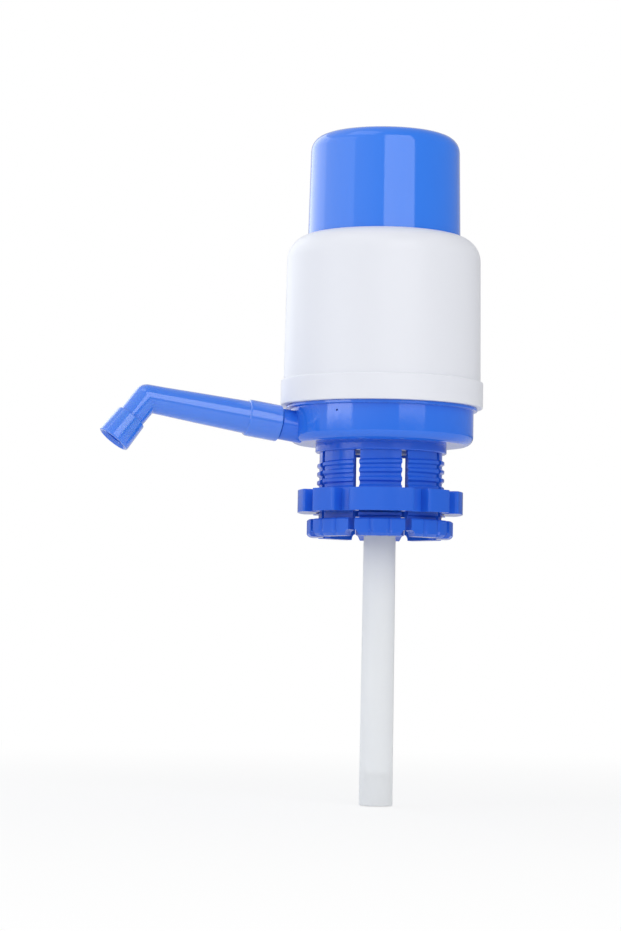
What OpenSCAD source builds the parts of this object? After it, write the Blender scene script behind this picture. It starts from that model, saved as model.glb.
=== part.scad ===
// Hand pump for a bottled-water jug: press cap over a bellows, valve deck, base bowl with a
// swivelling spout, a slotted collet and nut that grip the jug's neck, and a dip tube.
// Millimetres. +Z is up the pump's axis, the spout leaves towards -X, and the origin is the
// centre of the plane in which the jug's mouth meets the neck gasket.

/* [Press cap] */
// Diameter of the cap where it enters the sleeve
cap_rim_d = 75.2; // [70:0.1:75.2]
// Diameter of the cap just under its rounded top
cap_top_d = 73.3; // [68:0.1:73.3]
// Height of the cap's top above the sleeve's mouth
cap_rise = 50; // [46:0.1:60]
// Radius of the cap's rounded top edge
cap_edge_r = 7.5; // [3:0.5:10]
// Thickness of the cap's wall
cap_wall = 2; // [1.6:0.1:2.6]

/* [Sleeve] */
// Diameter of the sleeve just under its shoulder
sleeve_top_d = 95.4; // [94:0.1:96]
// Diameter of the sleeve just above its band
sleeve_low_d = 96.8; // [96:0.1:97.6]
// Height of the sleeve from its lower rim to its mouth
sleeve_h = 84.1; // [80:0.1:96]
// Radius of the sleeve's shoulder
shoulder_r = 12; // [10:0.1:14]
// Diameter of the band round the sleeve's foot
band_d = 99.4; // [98.6:0.1:101]
// Height of the band
band_h = 12.6; // [10:0.1:14]

/* [Base bowl] */
// Diameter of the bowl's wall
bowl_d = 90.4; // [89:0.1:90.4]
// Height of the bowl under the sleeve
bowl_h = 18.5; // [18:0.1:20]
// Radius of the bowl's lower edge
bowl_edge_r = 4.5; // [3:0.1:6]
// Diameter of the thin flange under the sleeve
bowl_flange_d = 94; // [92.4:0.1:94]
// Diameter of the vent hole that lets air in
vent_d = 1.1; // [0.8:0.1:2]

/* [Collet and nut] */
// Inside diameter of the collet, for the jug's neck
neck_bore_d = 56; // [55.6:0.1:56.2]
// Number of fingers round the collet
finger_count = 8; // [8]
// Width of the slots between the fingers
slot_w = 3.3; // [2:0.1:3.4]
// Diameter of the collet's top flange
collet_flange_d = 64.4; // [62:0.1:66]
// Length of the collet below the sealing plane
collet_depth = 42.7; // [42:0.1:46]
// Diameter over the thread's crests
thread_d = 62.4; // [61.8:0.1:62.6]
// Axial distance from crest to crest
thread_pitch = 4.2; // [4:0.1:4.6]
// Diameter over the fingers' feet
foot_d = 71.6; // [69:0.1:73]
// Height of the feet
foot_h = 8.5; // [7:0.1:8.5]
// Diameter over the nut's lugs
nut_d = 81; // [80:0.1:84]
// Diameter of the nut's plain ring between the lugs
nut_ring_d = 69; // [68:0.1:71]
// Height of the nut
nut_h = 11; // [9:0.1:11]
// Height of the nut's lower face below the sealing plane
nut_drop = 30.8; // [30.8:0.1:31]
// Angle that a broad lug takes up
broad_lug = 47; // [44:1:50]
// Angle that a narrow lug takes up
narrow_lug = 22; // [20:1:24]

/* [Spout] */
// Angle at which the spout rises outwards
spout_rise = 8.2; // [7.6:0.1:8.8]
// Length of the bowl's bare stub
stub_len = 7; // [6:0.1:12]
// Diameter of the stub
stub_d = 15.2; // [15:0.1:15.6]
// Length of the spout's thick socket
socket_len = 16.5; // [16:0.1:18]
// Diameter of the spout's socket
socket_d = 17.8; // [16.8:0.1:18]
// Length of the arm from the socket to the elbow
arm_len = 50; // [40:0.5:60]
// Diameter of the arm at the socket
arm_root_d = 15.9; // [15:0.1:16.4]
// Diameter of the arm at the elbow and of the leg
arm_tip_d = 13.4; // [13:0.1:14]
// Angle of the leg below level
leg_drop = 52; // [45:1:60]
// Length of the leg from the elbow to the open end
leg_len = 26; // [24:0.1:30]
// Length of the nozzle on the leg
nozzle_len = 14.2; // [14:0.1:16]
// Diameter of the nozzle at its upper end
nozzle_top_d = 15.2; // [15.2:0.1:15.6]
// Diameter of the nozzle at its open end
nozzle_d = 16.6; // [15.8:0.1:17]

/* [Dip tube] */
// Length of one tube section
tube_len = 175; // [150:1:200]
// Diameter of the tube under the collet
tube_top_d = 15.5; // [15.4:0.1:16.2]
// Diameter of the tube at its lower end
tube_low_d = 16.4; // [16.2:0.1:17.4]
// Bore that the next tube section is pushed into
joint_bore_d = 14.6; // [14.6:0.1:14.8]

/* [Hidden] */
$fn = 96;
eps = 0.01;
fit_gap = 0.3;
run_gap = 0.08;
arc_steps = 8;

// levels
bowl_floor_z = 3;
rim_z = bowl_floor_z + bowl_h;
mouth_z = rim_z + sleeve_h;
band_top_z = rim_z + band_h;
cap_top_z = mouth_z + cap_rise;
collet_low_z = -collet_depth;
foot_top_z = collet_low_z + foot_h;
collet_flange_z = -1.2;

// sleeve
sleeve_wall = 2.2;
mouth_r = cap_rim_d / 2 + fit_gap;
shoulder_mid_r = sleeve_top_d / 2 - shoulder_r;
shoulder_mid_z = mouth_z - sqrt(pow(shoulder_r, 2) - pow(mouth_r - shoulder_mid_r, 2));
sleeve_foot_r = 45.9;
snap_z = rim_z + 6.5;
snap_r = 0.8;
band_chamfer = 0.6;

// press cap; its foot stops just below the shoulder's inner side
cap_foot_r = 40;
cap_foot_h = 2.2;
foot_reach = cap_foot_r - shoulder_mid_r;
cap_foot_top_z = shoulder_mid_z + sqrt(pow(shoulder_r - sleeve_wall, 2) - pow(foot_reach, 2)) - fit_gap;
cap_roof_z = cap_top_z - cap_wall - 0.2;
cap_ring_r = 12;
cap_ring_h = 1.6;

// base bowl
bowl_r = bowl_d / 2;
bowl_wall = 2.2;
bowl_floor_t = 2.5;
floor_top_z = bowl_floor_z + bowl_floor_t;
collar_r = sleeve_foot_r - fit_gap;
collar_bore_r = 43.6;
collar_h = 10.5;
flange_t = 1.5;
ledge_bore_r = 40;
ledge_t = 2;
vent_angle = -136.2;
vent_z = 16.7;

// valve deck and what it clamps
gasket_t = 0.9;
deck_z = rim_z + gasket_t;
deck_t = 3;
deck_r = 43.3;
deck_top_z = deck_z + deck_t;
screw_circle_r = 37.5;
screw_count = 4;
screw_phase = 45;
screw_r = 1.4;
screw_head_r = 2.9;
screw_head_h = 1.8;
boss_r = 3.4;
bellows_foot_r = 43;
bellows_foot_t = 1.5;
clamp_z = deck_top_z + bellows_foot_t;
clamp_t = 3;
clamp_bore_r = 34.8;

// bellows
bellows_r = 33.8;
bellows_root_r = 27.5;
bellows_wall = 1.2;
bellows_folds = 11;
bellows_low_z = deck_top_z + bellows_foot_t;
bellows_top_z = cap_roof_z - 0.4;
bellows_lid_z = cap_roof_z - cap_ring_h - 0.2;
bellows_plug_r = cap_ring_r - cap_wall - fit_gap;

// valves
air_post_x = 20;
air_post_r = 7.6;
air_post_bore_r = 5.9;
air_hole_x = 17;
air_hole_r = 2.8;
inlet_y = 19;
inlet_head_r = 7;
outlet_head_r = 5.3;
valve_head_t = 1.1;
valve_stem_r = 1.5;
valve_barb_r = 2.3;
valve_barb_h = 2.2;
valve_lift = 1.2;
port_count = 6;
inlet_port_circle = 4.4;
outlet_port_circle = 3.6;
port_r = 0.9;

// riser between the dip tube and the stub
riser_socket_r = 9.6;
riser_socket_z = -12;
riser_floor_hole_r = 9.8;
riser_flange_r = 12;
riser_flange_t = 2.5;
riser_body_r = 8.6;
riser_top_z = 20.6;
riser_bore_r = 6;
riser_arm_z = 10.5;
riser_arm_r = 4.8;
riser_arm_bore_r = 3;
riser_arm_x = -39;
riser_ring_x = -36.5;
riser_ring_r = 4.25;
riser_ring_cord_r = 0.55;
floor_ring_r = 11;
floor_ring_cord_r = 0.5;

// stub, spout and nozzle
spout_root = [-bowl_r + 1.2, 0, riser_arm_z];
stub_face = stub_len + 1.2;
spigot_r = 6.3;
spigot_len = 14.5;
spigot_ring_s = 9;
spigot_ring_r = 5.85;
spigot_ring_cord_r = 0.5;
socket_bore_r = spigot_r + run_gap;
socket_face_gap = 0.4;
spout_bore_r = 4.7;
stub_boss_r = 7.2;
stub_boss_x = -34;
arm_start = stub_face + socket_face_gap + socket_len;
elbow_s = arm_start + arm_len;
leg_turn = leg_drop + spout_rise;
nozzle_lip_r = 5.9;
pipe_short = 3.4;
nozzle_edge = 0.7;

// collet and nut
finger_pitch = 360 / finger_count;
finger_phase = 117;
finger_bore_r = neck_bore_d / 2;
thread_root_r = thread_d / 2 - 1.1;
thread_crest = 1.3;
thread_flank = 0.8;
thread_first_z = -4.4;
thread_turns = 7;
foot_groove_r = 1.1;
foot_groove_angle = 7.5;
foot_chamfer = 1.4;
foot_notch = 5;
foot_notch_drop = 0.6;
collet_screw_r = 1;
collet_screw_head_r = 1.9;
collet_screw_head_h = 1.3;
collet_screw_circle_r = 29.7;
nut_bore_r = thread_d / 2 + 0.35;
nut_phase = -107;
nut_corner_r = 1.5;
nut_chamfer = 1;

// neck gasket
neck_gasket_bore_r = 20.4;
neck_gasket_gap = 0.05;

// dip tube
tube_bore_r = 6.2;
tube_top_z = 2.4;
tube_low_z = tube_top_z - tube_len;
tube_spigot_r = 7.25;
tube_joint_depth = 16;
tube_edge = 0.35;

blue = [0.18, 0.4, 0.88];
dark_blue = [0.14, 0.32, 0.78];
shell_white = [0.94, 0.94, 0.96];
natural_white = [0.86, 0.89, 0.9];
rubber_grey = [0.25, 0.26, 0.28];
seal_white = [0.9, 0.9, 0.88];
steel = [0.7, 0.71, 0.73];

// points along an arc about c, from angle a to angle b
function arc(c, r, a, b) =
    [for (i = [0 : arc_steps]) let (t = a + (b - a) * i / arc_steps) c + r * [cos(t), sin(t)]];

module round_about(count, radius, phase = 0) {
    for (i = [0 : count - 1]) rotate([0, 0, phase + 360 * i / count]) translate([radius, 0, 0]) children();
}

module tube(outer_r, inner_r, low, high) {
    translate([0, 0, low]) difference() {
        cylinder(r = outer_r, h = high - low);
        translate([0, 0, -eps]) cylinder(r = inner_r, h = high - low + 2 * eps);
    }
}

module ring(radius, cord_r) {
    rotate_extrude() translate([radius, 0]) circle(r = cord_r, $fn = 24);
}

// places children on the stub's axis, with +Z pointing out along the spout
module on_spout_axis(s = 0) {
    translate(spout_root) rotate([0, spout_rise - 90, 0]) translate([0, 0, s]) children();
}

// places children on the leg's axis, with +Z pointing to the open end
module on_leg_axis(s = 0) {
    on_spout_axis(elbow_s) rotate([0, -leg_turn, 0]) translate([0, 0, s]) children();
}

module press_cap() {
    r_top = cap_top_d / 2;
    r_rim = cap_rim_d / 2;
    r_bore = r_rim - cap_wall;
    foot_low = cap_foot_top_z - cap_foot_h;
    inner = cap_edge_r - cap_wall;
    color(blue) {
        rotate_extrude() polygon(concat(
            [[0, cap_roof_z], [0, cap_top_z]],
            arc([r_top - cap_edge_r, cap_top_z - cap_edge_r], cap_edge_r, 90, 0),
            [[r_rim, mouth_z], [r_rim, cap_foot_top_z], [cap_foot_r, cap_foot_top_z]],
            [[cap_foot_r, foot_low], [r_bore, foot_low], [r_bore, mouth_z]],
            arc([r_top - cap_edge_r, cap_roof_z - inner], inner, 0, 90)
        ));
        tube(cap_ring_r, cap_ring_r - cap_wall, cap_roof_z - cap_ring_h, cap_roof_z + eps);
    }
}

module sleeve() {
    r_low = sleeve_low_d / 2;
    reach = mouth_r - shoulder_mid_r;
    inner = shoulder_r - sleeve_wall;
    shoulder = [shoulder_mid_r, shoulder_mid_z];
    color(shell_white) difference() {
        rotate_extrude() polygon(concat(
            [[sleeve_foot_r, rim_z], [band_d / 2 - band_chamfer, rim_z], [band_d / 2, rim_z + band_chamfer]],
            [[band_d / 2, band_top_z - band_chamfer], [band_d / 2 - band_chamfer, band_top_z]],
            [[r_low, band_top_z]],
            arc(shoulder, shoulder_r, 0, acos(reach / shoulder_r)),
            arc(shoulder, inner, acos(reach / inner), 0),
            [[r_low - sleeve_wall, band_top_z], [sleeve_foot_r, band_top_z - 1]]
        ));
        translate([0, 0, snap_z]) ring(sleeve_foot_r, snap_r + 0.35);
    }
}

// one fold is two slopes; the wall has the same thickness all the way up
function fold_points(shift) = [
    for (i = [0 : 2 * bellows_folds])
        [
            (i % 2 == 0 ? bellows_root_r : bellows_r) - shift,
            bellows_low_z + 1 + (bellows_top_z - bellows_low_z - 4) * i / (2 * bellows_folds)
        ]
];

module bellows() {
    outside = fold_points(0);
    inside = fold_points(bellows_wall);
    last = len(outside) - 1;
    color(natural_white) difference() {
        rotate_extrude() polygon(concat(
            [[bellows_root_r - bellows_wall, deck_top_z], [bellows_foot_r, deck_top_z]],
            [[bellows_foot_r, clamp_z], [bellows_root_r, clamp_z]],
            outside,
            [[bellows_root_r, bellows_lid_z], [bellows_plug_r, bellows_lid_z]],
            [[bellows_plug_r, bellows_top_z], [0, bellows_top_z], [0, bellows_lid_z - bellows_wall]],
            [[bellows_root_r - bellows_wall, bellows_lid_z - bellows_wall]],
            [for (i = [0 : last]) inside[last - i]]
        ));
        round_about(screw_count, screw_circle_r, screw_phase)
            translate([0, 0, deck_top_z - 1]) cylinder(r = screw_r + 0.3, h = bellows_foot_t + 2, $fn = 32);
    }
}

module bellows_clamp_ring() {
    color(dark_blue) difference() {
        tube(bellows_foot_r - 0.2, clamp_bore_r, clamp_z, clamp_z + clamp_t);
        round_about(screw_count, screw_circle_r, screw_phase)
            translate([0, 0, clamp_z - 1]) cylinder(r = screw_r + 0.1, h = clamp_t + 2, $fn = 32);
    }
}

module valve_ports(circle_r) {
    round_about(port_count, circle_r) translate([0, 0, -1]) cylinder(r = port_r, h = deck_t + 2, $fn = 24);
    translate([0, 0, -1]) cylinder(r = valve_stem_r + run_gap, h = deck_t + 2, $fn = 32);
}

module valve_deck() {
    color(shell_white) difference() {
        translate([0, 0, deck_z]) cylinder(r = deck_r, h = deck_t);
        translate([0, inlet_y, deck_z]) valve_ports(inlet_port_circle);
        translate([air_post_x, 0, deck_z]) valve_ports(outlet_port_circle);
        round_about(screw_count, screw_circle_r, screw_phase)
            translate([0, 0, deck_z - 1]) cylinder(r = screw_r + 0.1, h = deck_t + 2, $fn = 32);
    }
}

module deck_gasket() {
    color(rubber_grey) difference() {
        tube(deck_r, ledge_bore_r + 0.6, rim_z, deck_z);
        round_about(screw_count, screw_circle_r, screw_phase)
            translate([0, 0, rim_z - 1]) cylinder(r = boss_r + 0.2, h = gasket_t + 2, $fn = 48);
    }
}

module deck_screws() {
    head_z = clamp_z + clamp_t;
    color(steel) round_about(screw_count, screw_circle_r, screw_phase) difference() {
        union() {
            translate([0, 0, head_z])
                cylinder(r1 = screw_head_r, r2 = screw_head_r - 0.8, h = screw_head_h, $fn = 32);
            translate([0, 0, head_z - 20]) cylinder(r = screw_r, h = 20 + eps, $fn = 32);
        }
        for (turn = [0, 90]) rotate([0, 0, turn])
            translate([-1.6, -0.3, head_z + 0.7]) cube([3.2, 0.6, screw_head_h]);
    }
}

// a rubber mushroom: its head lies on the ports and its barb keeps it in the deck
module mushroom(head_r) {
    play = deck_t + valve_lift + 0.1;
    cylinder(r1 = head_r, r2 = head_r - 0.5, h = valve_head_t, $fn = 64);
    translate([0, 0, -play - eps]) cylinder(r = valve_stem_r, h = play + 2 * eps, $fn = 32);
    translate([0, 0, -play - valve_barb_h]) cylinder(r1 = 0.9, r2 = valve_barb_r, h = valve_barb_h, $fn = 32);
}

module inlet_valve() {
    color(rubber_grey) translate([0, inlet_y, deck_top_z]) mushroom(inlet_head_r);
}

module outlet_valve() {
    color(rubber_grey) translate([air_post_x, 0, deck_z]) rotate([180, 0, 0]) mushroom(outlet_head_r);
}

module bowl_shell() {
    edge = [bowl_r - bowl_edge_r, bowl_floor_z + bowl_edge_r];
    inner = bowl_edge_r - bowl_wall;
    rotate_extrude() polygon(concat(
        [[0, bowl_floor_z]],
        arc(edge, bowl_edge_r, -90, 0),
        [[bowl_r, rim_z - flange_t], [bowl_flange_d / 2, rim_z - flange_t], [bowl_flange_d / 2, rim_z]],
        [[collar_r, rim_z], [collar_r, rim_z + collar_h - 0.8], [collar_r - 0.8, rim_z + collar_h]],
        [[collar_bore_r, rim_z + collar_h], [collar_bore_r, rim_z], [ledge_bore_r, rim_z]],
        [[ledge_bore_r, rim_z - ledge_t], [bowl_r - bowl_wall, rim_z - ledge_t - 2]],
        arc([bowl_r - bowl_wall - inner, floor_top_z + inner], inner, 0, -90),
        [[0, floor_top_z]]
    ));
    translate([0, 0, snap_z]) ring(collar_r, snap_r);
}

module stub() {
    intersection() {
        union() {
            on_spout_axis(-4) cylinder(r = stub_d / 2, h = stub_face + 4);
            on_spout_axis(stub_face - eps) cylinder(r = spigot_r, h = spigot_len);
            on_spout_axis(stub_face + spigot_len - 2 * eps)
                cylinder(r1 = spigot_r, r2 = spigot_r - 0.6, h = 0.8);
        }
        translate([-150, -50, -10]) cube([150 - bowl_r + bowl_wall, 100, 60]);
    }
    translate([stub_boss_x, 0, riser_arm_z]) rotate([0, -90, 0])
        cylinder(r = stub_boss_r, h = bowl_r - bowl_wall / 2 + stub_boss_x);
}

module base_bowl() {
    color(blue) difference() {
        union() {
            bowl_shell();
            stub();
            translate([air_post_x, 0, floor_top_z - eps])
                cylinder(r = air_post_r, h = deck_z - floor_top_z);
            round_about(screw_count, screw_circle_r, screw_phase)
                translate([0, 0, floor_top_z - eps]) cylinder(r = boss_r, h = deck_z - floor_top_z - 0.1);
        }
        translate([0, 0, bowl_floor_z - 1]) cylinder(r = riser_floor_hole_r, h = bowl_floor_t + 2);
        translate([air_post_x, 0, floor_top_z]) cylinder(r = air_post_bore_r, h = 30);
        translate([air_hole_x, 0, bowl_floor_z - 1]) cylinder(r = air_hole_r, h = bowl_floor_t + 2, $fn = 48);
        round_about(screw_count, screw_circle_r, screw_phase)
            translate([0, 0, floor_top_z + 2]) cylinder(r = screw_r + 0.05, h = 30, $fn = 32);
        round_about(finger_count / 2, collet_screw_circle_r, finger_phase)
            translate([0, 0, bowl_floor_z - 1])
                cylinder(r = collet_screw_r + 0.1, h = bowl_floor_t + 2, $fn = 24);
        translate([stub_boss_x + 1, 0, riser_arm_z]) rotate([0, -90, 0])
            cylinder(r = riser_arm_r + run_gap, h = -riser_arm_x + stub_boss_x + 1 + 0.3);
        on_spout_axis(-5) cylinder(r = spout_bore_r, h = 60);
        translate([riser_arm_x + 1, 0, riser_arm_z]) rotate([0, -90, 0]) cylinder(r = spout_bore_r, h = 5);
        on_spout_axis(stub_face + spigot_ring_s) difference() {
            translate([0, 0, -0.65]) cylinder(r = spigot_r + 1, h = 1.3);
            translate([0, 0, -1]) cylinder(r = spigot_ring_r - spigot_ring_cord_r, h = 2);
        }
        rotate([0, 0, vent_angle]) translate([bowl_r - bowl_wall - 1, 0, vent_z]) rotate([0, 90, 0])
            cylinder(r = vent_d / 2, h = bowl_wall + 2, $fn = 24);
    }
}

module riser_elbow() {
    color(shell_white) difference() {
        union() {
            translate([0, 0, riser_socket_z])
                cylinder(r = riser_socket_r, h = floor_top_z - riser_socket_z + 0.5);
            translate([0, 0, floor_top_z]) cylinder(r = riser_flange_r, h = riser_flange_t);
            translate([0, 0, floor_top_z]) cylinder(r = riser_body_r, h = riser_top_z - floor_top_z);
            translate([0, 0, riser_arm_z]) rotate([0, -90, 0]) cylinder(r = riser_arm_r, h = -riser_arm_x);
        }
        translate([0, 0, riser_socket_z - 1])
            cylinder(r = joint_bore_d / 2, h = tube_top_z - riser_socket_z + 1.3);
        translate([0, 0, 0]) cylinder(r = riser_bore_r, h = riser_top_z - 2);
        translate([0, 0, riser_arm_z]) rotate([0, -90, 0])
            cylinder(r = riser_arm_bore_r, h = -riser_arm_x + 1);
        translate([riser_ring_x, 0, riser_arm_z]) rotate([0, 90, 0]) difference() {
            translate([0, 0, -0.65]) cylinder(r = riser_arm_r + 1, h = 1.3);
            translate([0, 0, -1]) cylinder(r = riser_ring_r - riser_ring_cord_r, h = 2);
        }
        translate([0, 0, floor_top_z - eps]) difference() {
            cylinder(r = floor_ring_r + floor_ring_cord_r + 0.05, h = 2 * floor_ring_cord_r + eps);
            translate([0, 0, -1]) cylinder(r = floor_ring_r - floor_ring_cord_r - 0.05, h = 4);
        }
    }
}

module riser_o_ring() {
    color(rubber_grey) translate([riser_ring_x, 0, riser_arm_z]) rotate([0, 90, 0])
        ring(riser_ring_r, riser_ring_cord_r - eps);
}

module floor_o_ring() {
    color(rubber_grey) translate([0, 0, floor_top_z + floor_ring_cord_r])
        ring(floor_ring_r, floor_ring_cord_r - eps);
}

module spout() {
    socket_start = stub_face + socket_face_gap;
    color(blue) difference() {
        union() {
            on_spout_axis(socket_start) cylinder(r = socket_d / 2, h = socket_len - 1);
            on_spout_axis(socket_start + socket_len - 1)
                cylinder(r1 = socket_d / 2, r2 = arm_root_d / 2, h = 1);
            on_spout_axis(socket_start + socket_len - eps)
                cylinder(r1 = arm_root_d / 2, r2 = arm_tip_d / 2, h = arm_len + eps);
            on_spout_axis(elbow_s) sphere(r = arm_tip_d / 2);
            on_leg_axis() cylinder(r = arm_tip_d / 2, h = leg_len - pipe_short);
        }
        on_spout_axis(socket_start - 1) cylinder(r = socket_bore_r, h = spigot_len + 2.4);
        on_spout_axis(socket_start) cylinder(r = spout_bore_r, h = elbow_s - socket_start);
        on_spout_axis(elbow_s) sphere(r = spout_bore_r);
        on_leg_axis() cylinder(r = spout_bore_r, h = leg_len);
    }
}

module spout_o_ring() {
    color(rubber_grey) on_spout_axis(stub_face + spigot_ring_s)
        ring(spigot_ring_r, spigot_ring_cord_r - eps);
}

module spout_nozzle() {
    start = leg_len - nozzle_len;
    r_top = nozzle_top_d / 2;
    r = nozzle_d / 2;
    color(blue) on_leg_axis() rotate_extrude() polygon([
        [arm_tip_d / 2 + 0.05, start],
        [r_top - nozzle_edge, start],
        [r_top, start + nozzle_edge],
        [r, leg_len - 0.5],
        [r - 0.5, leg_len],
        [nozzle_lip_r + 0.3, leg_len],
        [nozzle_lip_r, leg_len - 0.3],
        [nozzle_lip_r, leg_len - pipe_short + 0.1],
        [arm_tip_d / 2 + 0.05, leg_len - pipe_short + 0.1]
    ]);
}

// outline of one finger from the flange down: the thread's ridges, then the foot
function finger_points(shift) = concat(
    [[finger_bore_r, collet_low_z], [finger_bore_r, collet_flange_z + 1], [thread_root_r, collet_flange_z + 1]],
    [
        for (i = [0 : thread_turns - 1])
            let (z = thread_first_z - shift - i * thread_pitch)
                each (
                    z - thread_crest - thread_flank < foot_top_z + 0.4
                        ? []
                        : [
                            [thread_root_r, z + thread_crest / 2 + thread_flank],
                            [thread_d / 2, z + thread_crest / 2],
                            [thread_d / 2, z - thread_crest / 2],
                            [thread_root_r, z - thread_crest / 2 - thread_flank]
                        ]
                )
    ],
    [[thread_root_r, foot_top_z], [foot_d / 2 - 0.6, foot_top_z], [foot_d / 2, foot_top_z - 0.6]],
    [[foot_d / 2, collet_low_z + foot_chamfer], [foot_d / 2 - foot_chamfer, collet_low_z]]
);

// the sector that a finger fills, with sides parallel to the slots
module finger_wedge() {
    tip = slot_w / 2 / sin(finger_pitch / 2);
    side = 2 * foot_d;
    translate([0, 0, collet_low_z - 1]) linear_extrude(collet_depth + 2) polygon([
        [tip, 0],
        [tip, 0] + side * [cos(finger_pitch / 2), -sin(finger_pitch / 2)],
        [tip, 0] + side * [cos(finger_pitch / 2), sin(finger_pitch / 2)]
    ]);
}

module collet() {
    flange_r = collet_flange_d / 2;
    color(blue) difference() {
        union() {
            rotate_extrude() polygon([
                [finger_bore_r, collet_flange_z],
                [flange_r - 0.8, collet_flange_z],
                [flange_r, collet_flange_z + 0.8],
                [flange_r, bowl_floor_z],
                [finger_bore_r, bowl_floor_z]
            ]);
            for (i = [0 : finger_count - 1]) intersection() {
                rotate_extrude() polygon(finger_points(thread_pitch * (1 - (i + 1) / finger_count)));
                rotate([0, 0, finger_phase + i * finger_pitch]) finger_wedge();
            }
        }
        // the feet's lower corners are cut away, so that the slots open out downwards
        for (i = [0 : finger_count - 1]) rotate([0, 0, finger_phase + (i + 0.5) * finger_pitch])
            translate([finger_bore_r - 1, 0, collet_low_z - foot_notch_drop])
                rotate([0, 90, 0]) rotate([0, 0, 45])
                    translate([-foot_notch / 2, -foot_notch / 2, 0]) cube([foot_notch, foot_notch, 12]);
        for (i = [0 : finger_count - 1], side = [-1, 1])
            rotate([0, 0, finger_phase + i * finger_pitch + side * foot_groove_angle])
                translate([foot_d / 2 + 0.3, 0, collet_low_z - 1])
                    cylinder(r = foot_groove_r, h = foot_h + 2, $fn = 24);
        round_about(finger_count / 2, collet_screw_circle_r, finger_phase)
            translate([0, 0, collet_flange_z + 0.5]) cylinder(r = collet_screw_r + 0.05, h = 10, $fn = 24);
    }
}

module collet_screws() {
    color(steel) round_about(finger_count / 2, collet_screw_circle_r, finger_phase) difference() {
        union() {
            translate([0, 0, floor_top_z])
                cylinder(
                    r1 = collet_screw_head_r,
                    r2 = collet_screw_head_r - 0.5,
                    h = collet_screw_head_h,
                    $fn = 24
                );
            translate([0, 0, collet_flange_z + 0.8])
                cylinder(r = collet_screw_r, h = floor_top_z - collet_flange_z - 0.8 + eps, $fn = 24);
        }
        for (turn = [0, 90]) rotate([0, 0, turn])
            translate([-1.1, -0.25, floor_top_z + 0.6]) cube([2.2, 0.5, 2]);
    }
}

// one lug seen from above: a sector with its two outer corners rounded
module lug_outline(angle) {
    r = nut_d / 2;
    rc = r - nut_corner_r;
    side = asin(nut_corner_r / rc);
    far = 2 * r;
    intersection() {
        difference() {
            circle(r = r);
            circle(r = nut_bore_r + 1);
        }
        polygon([[0, 0], far * [cos(angle / 2 - side), -sin(angle / 2 - side)], [far, 0],
            far * [cos(angle / 2 - side), sin(angle / 2 - side)]]);
    }
    intersection() {
        difference() {
            circle(r = rc);
            circle(r = nut_bore_r + 1);
        }
        polygon([[0, 0], far * [cos(angle / 2), -sin(angle / 2)], [far, 0],
            far * [cos(angle / 2), sin(angle / 2)]]);
    }
    for (s = [-1, 1]) rotate(s * (angle / 2 - side)) translate([rc, 0]) circle(r = nut_corner_r, $fn = 32);
}

module clamp_nut() {
    low = -nut_drop;
    color(blue) difference() {
        union() {
            translate([0, 0, low]) cylinder(r = nut_ring_d / 2, h = nut_h);
            for (i = [0 : 3]) translate([0, 0, low]) {
                rotate([0, 0, nut_phase + 90 * i]) linear_extrude(nut_h) lug_outline(broad_lug);
                rotate([0, 0, nut_phase + 90 * i + 45]) linear_extrude(nut_h) lug_outline(narrow_lug);
            }
        }
        translate([0, 0, low - 1]) cylinder(r = nut_bore_r, h = nut_h + 2);
        // the top and bottom edges of the lugs are eased
        for (flip = [0, 1]) translate([0, 0, low + nut_h / 2]) rotate([180 * flip, 0, 0])
            rotate_extrude() polygon([
                [nut_d / 2 - nut_chamfer, nut_h / 2 + eps],
                [nut_d / 2 + eps, nut_h / 2 - nut_chamfer],
                [nut_d / 2 + 1, nut_h / 2 - nut_chamfer],
                [nut_d / 2 + 1, nut_h / 2 + 1],
                [nut_d / 2 - nut_chamfer, nut_h / 2 + 1]
            ]);
    }
}

module neck_gasket() {
    color(seal_white)
        tube(finger_bore_r - neck_gasket_gap, neck_gasket_bore_r, 0, bowl_floor_z);
}

module dip_tube() {
    r_top = tube_top_d / 2;
    r_low = tube_low_d / 2;
    color(natural_white) difference() {
        rotate_extrude() polygon([
            [tube_bore_r, tube_top_z],
            [tube_spigot_r - tube_edge, tube_top_z],
            [tube_spigot_r, tube_top_z - tube_edge],
            [tube_spigot_r, riser_socket_z - 0.3],
            [r_top - tube_edge, riser_socket_z - 0.3],
            [r_top, riser_socket_z - 0.3 - tube_edge],
            [r_low, tube_low_z + 1],
            [r_low - 0.5, tube_low_z],
            [tube_bore_r, tube_low_z]
        ]);
        translate([0, 0, tube_low_z - 1]) cylinder(r = joint_bore_d / 2, h = tube_joint_depth + 1);
    }
}

press_cap();
sleeve();
bellows();
bellows_clamp_ring();
valve_deck();
deck_gasket();
deck_screws();
inlet_valve();
outlet_valve();
base_bowl();
riser_elbow();
riser_o_ring();
floor_o_ring();
spout();
spout_o_ring();
spout_nozzle();
collet();
collet_screws();
clamp_nut();
neck_gasket();
dip_tube();
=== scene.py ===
import bmesh
import bpy
import math
from mathutils import Matrix, Vector


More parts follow.
